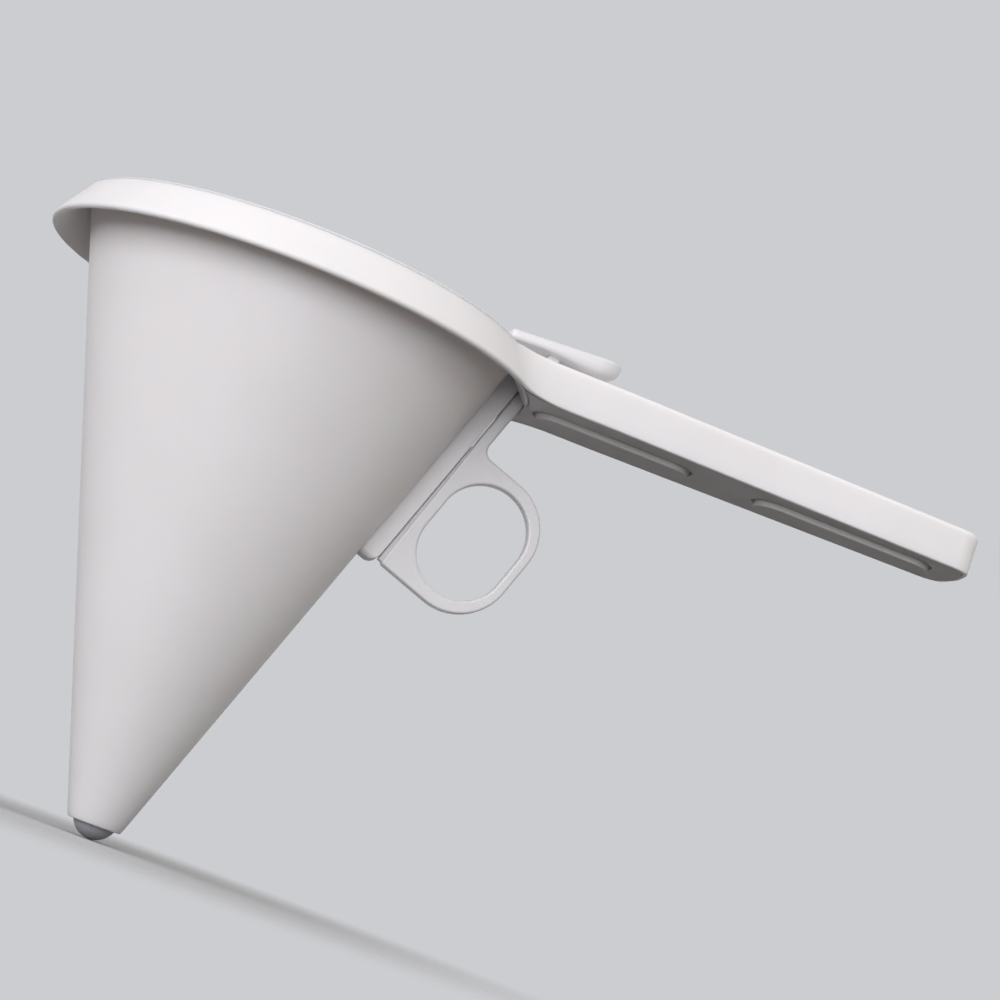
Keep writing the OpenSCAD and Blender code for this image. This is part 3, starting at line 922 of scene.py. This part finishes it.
@dataclass
class GuideRail:
    """The undercut rail on the cone's side, a T-slot with a closed, rounded foot.

    Its section is carried up the slope.
    """

    slope: SlopeFrame
    half_w: float = 3.7
    height: float = 4.3
    foot: float = 104.0
    slot_low: float = 106.3
    top: float = 160.0
    nose_r: float = 3.0
    side_r: float = 1.8
    root_r: float = 0.5
    root_sink: float = 0.15
    inside: float = 0.8
    edge_r: float = 0.35
    lip_bevel: float = 0.15
    neck_half: float = 1.3
    slot_half: float = 2.6
    slot_out: float = 2.7
    slot_in: float = 0.7

    def contour(self) -> np.ndarray:
        """The rail's outside, from one lip's edge round to the other's.

        Returns:
            Out and across places.
        """
        r, w, h, e = self.root_r, self.half_w, self.height, self.edge_r
        return both_halves(np.vstack([
            [[h, self.neck_half + self.lip_bevel]],
            arc(h - e, w - e, e, 0.0, 90.0, 5),
            line((h - e, w), (r + HAIR, w), 8)[1:],
            arc(r - self.root_sink, w + r, r, 270.0, 180.0, 8),
            [[-self.inside, w + r], [-self.inside, 0.0]],
        ]), open_start=True)

    def slot(self) -> np.ndarray:
        """The slot's inside, from one lip's edge round to the other's.

        Returns:
            Out and across places.
        """
        lip = self.height - self.lip_bevel
        return both_halves(np.vstack([
            [[self.height, self.neck_half + self.lip_bevel], [lip, self.neck_half]],
            line((lip, self.neck_half), (self.slot_out, self.neck_half), 5)[1:],
            line((self.slot_out, self.slot_half), (self.slot_in, self.slot_half), 4),
            [[self.slot_in, 0.0]],
        ]), open_start=True)

    def levels(self) -> np.ndarray:
        """Where the sections stand, close together round the foot.

        Returns:
            Distances up the slope, in rising order.
        """
        rise = 1 - np.cos(np.radians(np.linspace(0.0, 90.0, 11)))
        foot = [self.foot + self.nose_r * rise, self.foot + self.side_r * rise]
        step = [self.foot + self.side_r + 0.02, self.slot_low]
        along = np.linspace(self.foot + self.nose_r, self.top, 28)
        return np.unique(np.round(np.concatenate([*foot, step, along]), 4))

    def section(self, shape: np.ndarray, up: float) -> np.ndarray:
        """A section kept within the rounded foot.

        At a distance t above the foot, a rounding of radius r reaches r - sqrt(r^2 - (r - t)^2)
        in from its face, until t is r.

        Args:
            shape: out and across places of the full section.
            up: distance up the slope.

        Returns:
            x, y and z of each place.
        """
        nose = self.nose_r - math.sqrt(self.nose_r**2 - max(self.nose_r - (up - self.foot), 0.0) ** 2)
        out, across = np.minimum(shape[:, 0], self.height - nose), shape[:, 1]
        short = self.side_r - (up - self.foot)
        if short >= 0.0:
            limit = self.half_w - self.side_r + math.sqrt(self.side_r**2 - short**2)
            across = np.clip(across, -limit, limit)
        return self.slope.row(out, across, up)

    def flat(self, shape: np.ndarray, up: float) -> Surface:
        """A face that fills a closed section at a distance up the slope."""
        found = tessellate_polygon([[Vector((a, b, 0.0)) for a, b in shape]])
        return Surface(self.section(shape, up), triangles=np.array(found, int))

    def build(self, finish: Finish) -> None:
        """Builds the rail: outside, closed strip below the slot, slot, and three flat ends.

        Args:
            finish: its material.
        """
        outside, slot = thinned(self.contour()), thinned(self.slot())
        levels = self.levels()
        points = np.stack([self.section(outside, up) for up in levels])
        inside = np.stack([self.section(slot, up) for up in levels[levels >= self.slot_low - 1e-6]])
        below = points[: len(points) - len(inside) + 1]
        rail = Surface.joined([
            woven(points),
            woven(below[:, [-1, 0]]),
            woven(inside),
            self.flat(outside, self.foot),
            self.flat(slot, self.slot_low),
            self.flat(np.vstack([outside, slot[-2:0:-1]]), self.top),
        ])
        placed("guide_rail", rail, finish, Body.FUNNEL, ["funnel_body"])


@dataclass
class HandleCover:
    """The cover under the handle, with two long pads that stand in fine grooves."""

    handle: Handle
    inset: float = 1.2
    root_r: float = 59.1
    root_share: float = 0.33
    notch_x: float = 59.5
    notch_half: float = 4.3
    low_r: float = 0.2
    high_r: float = 0.1
    groove_r: float = 0.25
    pad_half: float = 5.7
    pad_h: float = 1.3
    pad_r: float = 0.45
    groove_w: float = 0.9
    groove_d: float = 0.9
    floor_in: float = 0.6
    pads: tuple[tuple[float, float], ...] = ((62.3, 39.5), (119.5, 45.6))

    def outline(self) -> np.ndarray:
        """The handle's outline drawn in, closed by an arc about the axis with the rail's notch.

        Returns:
            x and y of each place, anticlockwise.
        """
        piece, share, _ = self.handle.stations()
        kept = (piece > 0) | (share >= self.root_share)
        z = np.full(kept.sum(), self.handle.hopper.height + self.handle.cover_t)
        inset = np.full(kept.sum(), self.inset)
        half = self.handle.half_outline(piece[kept], share[kept], z, inset)
        first = math.degrees(math.asin(self.notch_half / self.root_r))
        last = math.degrees(math.atan2(half[0, 1], half[0, 0])) - 0.5
        root = arc(0.0, 0.0, self.root_r, first, last, 12)
        notch = [[self.notch_x, 0.0], [self.notch_x, self.notch_half]]
        return anticlockwise(both_halves(np.vstack([notch, root, half])))

    def bar(self, start: float, length: float, wider: float) -> np.ndarray:
        """The outline of a pad, or of the groove round it when it is made wider all round."""
        return stadium(start - wider, length + 2 * wider, self.pad_half + wider, 32)

    def build(self, finish: Finish) -> None:
        """Builds the plate, the floor of the grooves and the pads as one piece.

        The notch's end wall leans as the trigger's arm does, by the height times the slope's
        tangent, and the root stays clear of the cone, whose place is sqrt(r^2 - y^2).

        Args:
            finish: its material.
        """
        hopper = self.handle.hopper
        low, high = hopper.height, hopper.height + self.handle.cover_t
        floor = low + self.groove_d
        outline = self.outline()
        grooves = [self.bar(*pad, self.groove_w) for pad in self.pads]
        inner = drawn_in(thinned(outline), self.floor_in)
        slabs = [
            Slab(outline, low, high, self.low_r, self.high_r, grooves, self.groove_r),
            Slab(inner, floor, high - 0.2, HAIR, HAIR),
        ]
        for pad in self.pads:
            slabs.append(Slab(self.bar(*pad, 0.0), low - self.pad_h, floor + 0.3, self.pad_r, HAIR, steps=9))
        whole = Surface.joined([slab.surface() for slab in slabs])
        x, y, z = whole.points.T
        at_notch = (abs(x - self.notch_x) < 1.0) & (abs(y) < self.notch_half + 0.8)
        x = x + np.where(at_notch, (z - high) * hopper.slope.tangent, 0.0)
        cone = np.sqrt(np.maximum(hopper.cone_x(z) ** 2 - y**2, 0.0))
        whole.points[:, 0] = np.maximum(x, cone + HAIR)
        placed("handle_cover", whole, finish, Body.FUNNEL, ["handle_cover"])


@dataclass
class ThumbPlate:
    """The plate over the handle's root, tilted and lightly dished, with a round boss over the rod."""

    slope: SlopeFrame
    x: float
    z: float
    half_w: float = 5.7
    length: float = 24.3
    start: float = 1.3
    corner_r: float = 1.2
    boss_r: float = 4.0
    boss_low: float = 0.03
    boss_t: float = 1.7
    boss_edge_r: float = 0.5
    thick: float = 2.54
    edge_r: float = 0.9
    tilt: float = 3.5
    dish: float = 0.5
    belly: float = 2.3
    belly_from: float = 8.0
    belly_power: float = 0.55
    lean: float = 1.1
    lean_from: float = 18.0
    lean_level: float = 0.8
    rings: int = 14

    def row(self, points: np.ndarray) -> np.ndarray:
        """Places turned up about Y by the tilt, then moved to the plate's origin.

        Args:
            points: x, y and z in the plate's own axes.

        Returns:
            x, y and z in the part's frame.
        """
        c, s = math.cos(math.radians(self.tilt)), math.sin(math.radians(self.tilt))
        x, y, z = points.T
        return np.column_stack([self.x + x * c - z * s, y, self.z + x * s + z * c])

    def up_at(self, out: Any, lift: Any) -> Any:
        """Where lines parallel to the slope reach a height above the plate's underside.

        Args:
            out: distance out of each line.
            lift: height above the underside.

        Returns:
            Distance up the slope.
        """
        c, s, tilt = self.slope.cosine, self.slope.sine, math.radians(self.tilt)
        height = self.z + lift / math.cos(tilt) + (out * c - self.x) * math.tan(tilt)
        return (height + out * s - self.slope.apex_z) / (c - s * math.tan(tilt))

    def outline(self) -> np.ndarray:
        """The plan: square end, its corners, the sides and the round end.

        Returns:
            x and y of each place, anticlockwise.
        """
        c, w = self.corner_r, self.half_w
        return anticlockwise(thinned(both_halves(np.vstack([
            line((self.start, 0.0), (self.start, w - c - 0.2), 6),
            arc(self.start + c, w - c, c, 180.0, 90.0, 8),
            line((self.start + c + 0.5, w), (self.length, w), 24),
            arc(self.length, 0.0, w, 90.0, 0.0, 32)[1:],
        ]))))

    def boss(self) -> Surface:
        """The round boss over the rod, which runs in under the square end.

        Returns:
            The boss in the plate's own axes.
        """
        end, r, edge_r = self.start + 2 * self.corner_r, self.boss_r, self.boss_edge_r
        outline = np.vstack([arc(0.0, 0.0, r, 90.0, 270.0, 40), line((end, -r), (end, r), 4)])
        return Slab(outline, self.boss_low, self.boss_t, edge_r, edge_r).surface()

    def plate(self) -> Surface:
        """The plate in its own axes, without its boss.

        Its wall is the plan's outline drawn in round both edges. Inside it each ring shrinks
        towards the middle line: a point goes a share k of its way to (x clipped to the middle
        line, 0). The top is lowered by the dish where its ball of radius R reaches, by
        dish - R + sqrt(R^2 - q^2), with q the distance from the dish's middle. The underside
        swells towards the round end by belly * s * (1 - d^2)^power, with s the smooth share of
        the length and d the share of the half width. At last the round end leans out: each point
        moves by lean times the smooth share of the way there, times its share of the height less
        the level that stays.

        Returns:
            The closed plate.
        """
        outline, e = self.outline(), self.edge_r
        inset, height = Slab(outline, 0.0, self.thick, e, e, steps=8).levels(e, e)
        wall = layered(outline, inset[1:-1], height[1:-1])
        spine = np.zeros((len(outline), 3))
        spine[:, 0] = np.clip(outline[:, 0], self.start + self.half_w, self.length)
        shares = np.linspace(0.0, 1.0, self.rings + 1)[1:, None, None]
        low = wall[0] * (1 - shares) + spine * shares
        high = wall[-1] * (1 - shares) + (spine + [0.0, 0.0, self.thick]) * shares
        grid = np.concatenate([low[::-1], wall, high])
        x, y, z = np.moveaxis(grid, -1, 0)
        ball = self.half_w**2 / (2 * self.dish)
        q = np.minimum((x - self.length) ** 2 + y**2, ball**2)
        floor = self.thick - self.dish + ball - np.sqrt(ball**2 - q)
        z = np.where(z > self.thick - 1e-9, np.minimum(z, floor), z)
        side = np.clip(np.hypot(np.maximum(x - self.length, 0.0), y) / self.half_w, 0.0, 1.0)
        swell = self.belly * eased(x, self.belly_from, self.length) * (1 - side**2) ** self.belly_power
        z = z - swell * (z < e + 1e-9)
        level = (z + self.belly) / (self.thick + self.belly) - self.lean_level
        x = x + self.lean * eased(x, self.lean_from, self.length) * level
        return woven(np.stack([x, y, z], axis=-1), close_columns=True)

    def build(self, finish: Finish) -> None:
        """Builds the plate and its boss.

        Args:
            finish: their material.
        """
        whole = Surface.joined([self.plate(), self.boss()])
        whole.points = self.row(whole.points)
        placed("thumb_plate", whole, finish, Body.VALVE, ["thumb_plate"])


@dataclass(frozen=True)
class Bar:
    """A straight bar up the slope, from an inner to an outer distance out of it.

    Each of its ends passes the tongue's by the length that it is longer.
    """

    inner: float
    outer: float
    half_w: float
    longer: float
    edge_r: float

    def slab(self, low: float, high: float) -> Slab:
        """The bar for a tongue with these ends.

        Args:
            low: distance of the tongue's foot up the slope.
            high: distance of its top.

        Returns:
            The bar, with out and up as its plan.
        """
        low, high = low - self.longer, high + self.longer
        corners = [[self.inner, low], [self.outer, low], [self.outer, high], [self.inner, high]]
        return Slab(np.array(corners), -self.half_w, self.half_w, self.edge_r, self.edge_r)


@dataclass
class Trigger:
    """The finger ring, its plate and arm, and the tongue that runs in the rail."""

    slope: SlopeFrame
    plate: ThumbPlate
    thick: float = 4.0
    foot: float = 105.4
    end_t: float = 3.3
    side_t: float = 2.5
    hole_r: float = 10.9
    hole_straight: float = 7.4
    hole_out: float = 19.1
    plate_in_low: float = 5.4
    plate_in_high: float = 4.8
    plate_short: float = 1.0
    arm_in: float = 4.6
    arm_out: float = 7.6
    arm_rise: float = 2.5
    arm_lift: float = 2.2
    fillet_r: float = 2.6
    corner_r: float = 0.9
    bend_r: float = 1.0
    edge_r: float = 0.6
    tongue_short: float = 1.2
    neck: Bar = Bar(2.6, 6.0, 1.0, 0.0, HAIR)
    margin: Bar = Bar(4.42, 6.4, 1.6, 0.7, 0.3)
    tongue: Bar = Bar(1.3, 2.7, 2.3, 0.0, 0.2)

    @property
    def middle(self) -> float:
        """Distance up the slope of the finger hole's middle."""
        return self.foot + self.end_t + self.hole_r + self.hole_straight / 2

    @property
    def top(self) -> float:
        """Distance up the slope of the ring's top, as far from the middle as its foot is."""
        return 2 * self.middle - self.foot

    def outline(self) -> np.ndarray:
        """The outline round the ring, its plate and the arm, with rounded corners.

        Returns:
            Out and up places.
        """
        top, big = self.top, self.hole_r + self.side_t
        side, end = self.hole_out + big, float(self.plate.up_at(self.arm_in, self.arm_lift))
        corners = np.array([
            (self.plate_in_low, self.foot, self.corner_r),
            (side, self.foot, big),
            (side, top, big),
            (self.arm_out, top, self.fillet_r),
            (self.arm_out, end, self.corner_r),
            (self.arm_in, end, self.corner_r),
            (self.arm_in, top + self.arm_rise, self.bend_r),
            (self.plate_in_high, top - self.plate_short, self.bend_r),
        ])
        return rounded_corners(corners[:, :2], corners[:, 2], 20)

    def hole(self) -> np.ndarray:
        """The finger hole: two half circles apart by its straight length, up the slope.

        Returns:
            Out and up places.
        """
        h = self.hole_straight / 2
        ends = (self.middle + h, 0.0, 180.0), (self.middle - h, 180.0, 360.0)
        return np.vstack([arc(self.hole_out, up, self.hole_r, *turn, 40) for up, *turn in ends])

    def build(self, finish: Finish) -> None:
        """Builds the trigger from plates that lie in the slope's plane.

        Args:
            finish: its material.
        """
        low, high = self.foot + self.tongue_short, self.top - self.tongue_short
        half, e = self.thick / 2, self.edge_r
        slabs = [Slab(self.outline(), -half, half, e, e, [self.hole()], e, steps=8)]
        slabs += [bar.slab(low, high) for bar in (self.neck, self.margin, self.tongue)]
        whole = Surface.joined([slab.surface() for slab in slabs])
        out, up, across = whole.points.T
        whole.points = self.slope.row(out, across, up)
        placed("trigger", whole, finish, Body.VALVE, ["trigger"])


@dataclass
class Plunger:
    """The rod inside the hopper and the round stopper on its end."""

    slope: SlopeFrame
    wall: float = 1.2
    ball_r: float = 5.35
    seat_gap: float = 0.15
    stopper_l: float = 12.0
    rod_r: float = 2.5
    foot_r: float = 0.3
    fillet_r: float = 0.8
    shoulder_r: float = 4.0
    shoulder_h: float = 3.0
    shoulder_edge_r: float = 0.4
    spigot_r: float = 1.5
    spigot_edge: float = 0.1
    head_in: float = 0.4
    spigot_out: float = 0.06
    neck: float = 55.0

    @property
    def ball_z(self) -> float:
        """Height of the ball's middle, seated in the cone."""
        return self.slope.apex_z + (self.wall + self.ball_r + self.seat_gap) / self.slope.sine

    @property
    def out(self) -> float:
        """How far inside the cone's side the plunger's line runs, as a negative distance out."""
        return -(self.ball_z - self.slope.apex_z) * self.slope.sine

    @property
    def ball_up(self) -> float:
        """Distance up the slope of the ball's middle."""
        return (self.ball_z - self.slope.apex_z) * self.slope.cosine

    def on_line(self, surface: Surface, shift: float) -> Surface:
        """A surface of revolution moved on to the plunger's line, a distance up the slope."""
        x, y, h = surface.points.T
        return Surface(self.slope.row(self.out + x, y, shift + h), surface.quads)

    def stopper(self) -> Surface:
        """The ball and its neck, turned about the line from the ball's middle.

        Returns:
            The stopper in the part's frame.
        """
        tip = np.vstack([
            arc(0.0, 0.0, self.ball_r, -90.0, self.neck, 48),
            line((self.rod_r, self.stopper_l - self.foot_r), (self.rod_r - self.foot_r, self.stopper_l), 3),
            [[0.0, self.stopper_l]],
        ])
        return self.on_line(revolved(tip, 96), self.ball_up)

    def rod(self, plate: ThumbPlate) -> Surface:
        """The rod with its head and spigot.

        The head follows the thumb plate's tilted underside, and the spigot's end stands just
        proud of the plate's boss. For that the section's last rows are numbered 0, 1 and 2 by
        their height over the head, and each moves to the lift that its number picks.

        Args:
            plate: the thumb plate that it holds.

        Returns:
            The rod in the part's frame.
        """
        foot, top = self.ball_up + self.stopper_l, float(plate.up_at(self.out, 0.0))
        head, r, small = top - self.shoulder_h, self.rod_r, self.foot_r
        round_r, edge_r, spigot_r = self.fillet_r, self.shoulder_edge_r, self.spigot_r
        section = np.vstack([
            [[0.0, foot + 0.02]],
            arc(r - small, foot + small + 0.02, small, -90.0, 0.0, 4),
            line((r, foot + 1.0), (r, head - round_r), 24),
            arc(r + round_r, head - round_r, round_r, 180.0, 90.0, 6),
            arc(self.shoulder_r - edge_r, head + edge_r, edge_r, -90.0, 0.0, 5),
            [[self.shoulder_r, top], [spigot_r, top], [spigot_r, top + 1]],
            [[spigot_r - self.spigot_edge, top + 2], [0.0, top + 2]],
        ])
        turned_rod = revolved(section, 72)
        x, _, h = turned_rod.points.T
        lifts = np.array([self.head_in, plate.boss_t, plate.boss_t + self.spigot_out])
        number = np.clip(np.round(h - top).astype(int), 0, 2)
        turned_rod.points[:, 2] = np.where(h >= top - 1e-6, plate.up_at(self.out + x, lifts[number]), h)
        return self.on_line(turned_rod, 0.0)

    def build(self, finish: Finish, tip_finish: Finish, plate: ThumbPlate) -> None:
        """Builds the stopper, and the rod that holds the thumb plate."""
        placed("stopper_tip", self.stopper(), tip_finish, Body.VALVE, ["stopper_tip"])
        placed("plunger_rod", self.rod(plate), finish, Body.VALVE, ["plunger_rod"])


# ---------------------------------------------------------------- the studio


@dataclass(frozen=True)
class Viewpoint:
    """The camera: turned about the object, tipped, rolled, at a distance from a target."""

    azimuth: float = -6.4113
    elevation: float = -8.987
    roll: float = -20.3643
    distance: float = 584.66
    target: Triple = (61.379, 0.0, 103.877)
    lens: float = 88.789
    sensor: float = 36.0
    clip: tuple[float, float] = (0.02, 20.0)

    def build(self) -> None:
        """Makes the camera. Its back direction is (sin a cos e, -cos a cos e, sin e)."""
        a, e = math.radians(self.azimuth), math.radians(self.elevation)
        back = Vector((math.sin(a) * math.cos(e), -math.cos(a) * math.cos(e), math.sin(e)))
        data = bpy.data.cameras.new("camera")
        data.lens, data.sensor_width = self.lens, self.sensor
        data.clip_start, data.clip_end = self.clip
        camera = linked("camera", data)
        camera.rotation_mode = "QUATERNION"
        level = (-back).to_track_quat("-Z", "Y")
        camera.rotation_quaternion = level @ Quaternion((0.0, 0.0, 1.0), math.radians(-self.roll))
        camera.location = (Vector(self.target) + back * self.distance) * MM
        bpy.context.scene.camera = camera


@dataclass(frozen=True)
class Lamp:
    """A soft square lamp that faces a target, with its places in metres."""

    name: str
    place: Triple
    side: float
    power: float
    tint: Triple
    target: Triple = (0.05, 0.0, 0.08)

    def build(self) -> None:
        """Makes the lamp."""
        data = bpy.data.lights.new(self.name, "AREA")
        data.shape = "SQUARE"
        data.size, data.energy, data.color = self.side, self.power, self.tint
        lamp = linked(self.name, data)
        lamp.location = self.place
        lamp.rotation_mode = "QUATERNION"
        lamp.rotation_quaternion = (Vector(self.target) - Vector(self.place)).to_track_quat("-Z", "Y")


@dataclass(frozen=True)
class Studio:
    """A plain pale floor and backdrop, which light the object only a little, and soft lamps.

    The floor's rings and the distances over which it fades are in metres from its middle.
    """

    pale: Triple = (0.60, 0.61, 0.63)
    floor_dim: Triple = (0.11, 0.104, 0.10)
    sky_dim: Triple = (0.445, 0.428, 0.412)
    floor_z: float = -3.45
    floor_rings: tuple[float, ...] = (1e-4, 0.5, 1.0, 2.2)
    floor_steps: int = 96
    fade: tuple[float, float] = (0.03, 0.15)
    lamps: tuple[Lamp, ...] = (
        Lamp("key", (-0.330, -1.325, 0.323), 0.9, 12.3, (1.0, 0.99, 1.03)),
        Lamp("left", (-1.106, -0.751, 0.323), 1.0, 6.5, (1.0, 0.99, 1.03)),
        Lamp("high_right", (0.901, -0.391, 1.036), 0.9, 3.8, (1.0, 0.97, 0.92)),
    )

    @staticmethod
    def seen_rays(nodes: Nodes) -> Socket:
        """One for rays from the camera, off gloss or through clear plastic, else nothing.

        Args:
            nodes: the nodes to add it to.

        Returns:
            The value.
        """
        rays = nodes.add("LightPath")
        pair = {0: rays["Is Camera Ray"], 1: rays["Is Glossy Ray"]}
        either = nodes.add("Math", pair, operation="MAXIMUM")[0]
        return nodes.add("Math", {0: either, 1: rays["Is Transmission Ray"]}, operation="MAXIMUM")[0]

    def seen_or_dim(self, nodes: Nodes, kind: str, dim: Triple, seen: Socket) -> Socket:
        """A shader of one kind that is pale where it is seen and dim for all other light."""
        shaders = [nodes.add(kind, {"Color": (*colour, 1.0)})[0] for colour in (dim, self.pale)]
        return nodes.add("MixShader", {"Fac": seen, 1: shaders[0], 2: shaders[1]})[0]

    def world(self) -> None:
        """Makes the backdrop: pale where it is seen, dim where it lights the object."""
        bpy.context.scene.world = bpy.data.worlds.new("studio")
        nodes = Nodes(bpy.context.scene.world)
        mix = self.seen_or_dim(nodes, "Background", self.sky_dim, self.seen_rays(nodes))
        nodes.add("OutputWorld", {"Surface": mix})

    def floor_material(self) -> Finish:
        """Pale where it is seen, running out into the backdrop, and dim where it throws light back.

        Returns:
            The material.
        """
        made = bpy.data.materials.new("pale_floor")
        nodes = Nodes(made)
        seen = self.seen_rays(nodes)
        far = nodes.add("VectorMath", {0: nodes.add("TexCoord")["Object"]}, operation="LENGTH")["Value"]
        span = {"Value": far, "From Min": self.fade[0], "From Max": self.fade[1]}
        fade = nodes.add("MapRange", span, interpolation_type="SMOOTHSTEP")["Result"]
        share = nodes.add("Math", {0: fade, 1: seen}, operation="MULTIPLY")[0]
        solid = self.seen_or_dim(nodes, "BsdfDiffuse", self.floor_dim, seen)
        ends = {"Fac": share, 1: solid, 2: nodes.add("BsdfTransparent")[0]}
        nodes.add("OutputMaterial", {"Surface": nodes.add("MixShader", ends)[0]})
        return made

    def floor(self) -> None:
        """Makes the floor, a disc of rings: (r cos t, r sin t, z)."""
        t = np.linspace(0.0, 2 * math.pi, self.floor_steps, endpoint=False)
        disc = woven(turned(np.array(self.floor_rings)[:, None], t, self.floor_z * MM), close_columns=True)
        mesh = bpy.data.meshes.new("floor")
        faces = disc.quads.tolist() + [list(range(self.floor_steps))]
        mesh.from_pydata(disc.points.tolist(), [], faces)
        mesh.materials.append(self.floor_material())
        linked("floor", mesh)

    def build(self) -> None:
        """Makes floor, backdrop and lamps, and sets the plain view transform."""
        self.world()
        self.floor()
        for lamp in self.lamps:
            lamp.build()
        bpy.context.scene.view_settings.view_transform = "Standard"


def corners(box: tuple[Vector, Vector]) -> list[list[float]]:
    """A box's two corners as plain lists of numbers."""
    return [list(box[0]), list(box[1])]


def main() -> None:
    """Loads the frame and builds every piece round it."""
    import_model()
    Viewpoint().build()
    Studio().build()
    finishes = (SATIN_WHITE, COVER_WHITE, GLOSS_WHITE, MILKY_GREY)
    satin, cover_finish, gloss, milky = (finish.material() for finish in finishes)

    slope = SlopeFrame()
    hopper = Hopper(slope)
    hopper.build(satin)
    handle = Handle(hopper)
    handle.build(satin)
    GuideRail(slope).build(satin)
    HandleCover(handle).build(cover_finish)

    plunger = Plunger(slope)
    plate_z = hopper.rim_z + PLATE_RISE
    up = slope.up_at(plunger.out, plate_z)
    plate = ThumbPlate(slope, float(slope.row(plunger.out, 0.0, up)[0]), plate_z)
    plate.build(gloss)
    Trigger(slope, plate).build(gloss)
    plunger.build(gloss, milky, plate)


if __name__ == "__main__":
    main()
